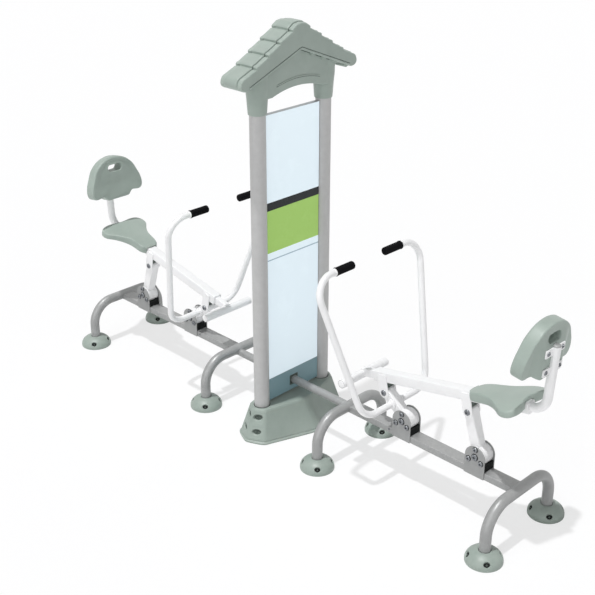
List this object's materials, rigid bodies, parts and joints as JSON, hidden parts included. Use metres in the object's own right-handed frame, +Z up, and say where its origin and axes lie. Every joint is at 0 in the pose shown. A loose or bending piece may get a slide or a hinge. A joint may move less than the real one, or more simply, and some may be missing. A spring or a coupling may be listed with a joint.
{
  "type": "outdoor rowing machine",
  "caption": "Outdoor rowing machine: back-to-back seats on lever linkages with handlebars, joined at a roofed notice board on posts.",
  "frame": {"origin": "on the ground, midway between the two posts", "axes": "+Z up, +X along the machine towards station a, +Y across it"},
  "size_m": [3.5486, 0.8678, 2.408],
  "materials": {
    "grey_powder_coat": "satin powder coat",
    "white_powder_coat": "satin powder coat",
    "sage_plastic": "moulded, finely grained",
    "black_grip_rubber": "matt",
    "bolt_steel": "dull",
    "board_face": "printed in plain bands"
  },
  "bodies": {
    "frame": {"base_plinth": "sage_plastic", "post_left": "grey_powder_coat", "post_right": "grey_powder_coat", "sign_board": "board_face", "roof_cap": "sage_plastic", "a_link_tube": "grey_powder_coat", "a_front_arch": "grey_powder_coat", "a_rear_arch": "grey_powder_coat", "a_spine": "grey_powder_coat", "a_front_bracket_left": "grey_powder_coat", "a_front_bracket_right": "grey_powder_coat", "a_rear_bracket_left": "grey_powder_coat", "a_rear_bracket_right": "grey_powder_coat", "a_front_axle": "bolt_steel", "a_rear_axle": "bolt_steel", "a_cap_front_left": "sage_plastic", "a_cap_front_right": "sage_plastic", "a_cap_rear_left": "sage_plastic", "a_cap_rear_right": "sage_plastic", "b_link_tube": "grey_powder_coat", "b_front_arch": "grey_powder_coat", "b_rear_arch": "grey_powder_coat", "b_spine": "grey_powder_coat", "b_front_bracket_left": "grey_powder_coat", "b_front_bracket_right": "grey_powder_coat", "b_rear_bracket_left": "grey_powder_coat", "b_rear_bracket_right": "grey_powder_coat", "b_front_axle": "bolt_steel", "b_rear_axle": "bolt_steel", "b_cap_front_left": "sage_plastic", "b_cap_front_right": "sage_plastic", "b_cap_rear_left": "sage_plastic", "b_cap_rear_right": "sage_plastic"},
    "a_lever": {"a_front_lever": "white_powder_coat", "a_handlebar": "white_powder_coat", "a_grip_left": "black_grip_rubber", "a_grip_right": "black_grip_rubber"},
    "a_seat_frame": {"a_seat_bar": "white_powder_coat", "a_footrest": "white_powder_coat", "a_pivot_bolt_front": "bolt_steel", "a_pivot_bolt_rear": "bolt_steel", "a_back_tube": "white_powder_coat", "a_backrest": "sage_plastic", "a_seat": "sage_plastic"},
    "a_support": {"a_rear_lever": "white_powder_coat"},
    "b_lever": {"b_front_lever": "white_powder_coat", "b_handlebar": "white_powder_coat", "b_grip_left": "black_grip_rubber", "b_grip_right": "black_grip_rubber"},
    "b_seat_frame": {"b_seat_bar": "white_powder_coat", "b_footrest": "white_powder_coat", "b_pivot_bolt_front": "bolt_steel", "b_pivot_bolt_rear": "bolt_steel", "b_back_tube": "white_powder_coat", "b_backrest": "sage_plastic", "b_seat": "sage_plastic"},
    "b_support": {"b_rear_lever": "white_powder_coat"}
  },
  "joints": [
    {"name": "a_row", "type": "hinge", "parent": "frame", "child": "a_lever", "pos_m": [0.889, 0, 0.381], "axis": [0, 1, 0], "range_deg": [0, 40]},
    {"name": "a_seat_tilt", "type": "hinge", "parent": "a_lever", "child": "a_seat_frame", "pos_m": [0.74958, 0, 0.49799], "axis": [0, 1, 0], "range_deg": [-34.3, 0]},
    {"name": "a_support_swing", "type": "hinge", "parent": "frame", "child": "a_support", "pos_m": [1.38, 0, 0.381], "axis": [0, 1, 0], "range_deg": [0, 27]},
    {"name": "b_row", "type": "hinge", "parent": "frame", "child": "b_lever", "pos_m": [-0.889, 0, 0.381], "axis": [0, -1, 0], "range_deg": [0, 40]},
    {"name": "b_seat_tilt", "type": "hinge", "parent": "b_lever", "child": "b_seat_frame", "pos_m": [-0.74958, 0, 0.49799], "axis": [0, -1, 0], "range_deg": [-34.3, 0]},
    {"name": "b_support_swing", "type": "hinge", "parent": "frame", "child": "b_support", "pos_m": [-1.38, 0, 0.381], "axis": [0, -1, 0], "range_deg": [0, 27]}
  ],
  "couplings": [
    {"joint": "a_seat_tilt", "follows": "a_row", "ratio": -0.856},
    {"joint": "a_support_swing", "follows": "a_row", "ratio": 0.6738},
    {"joint": "b_seat_tilt", "follows": "b_row", "ratio": -0.856},
    {"joint": "b_support_swing", "follows": "b_row", "ratio": 0.6738}
  ]
}
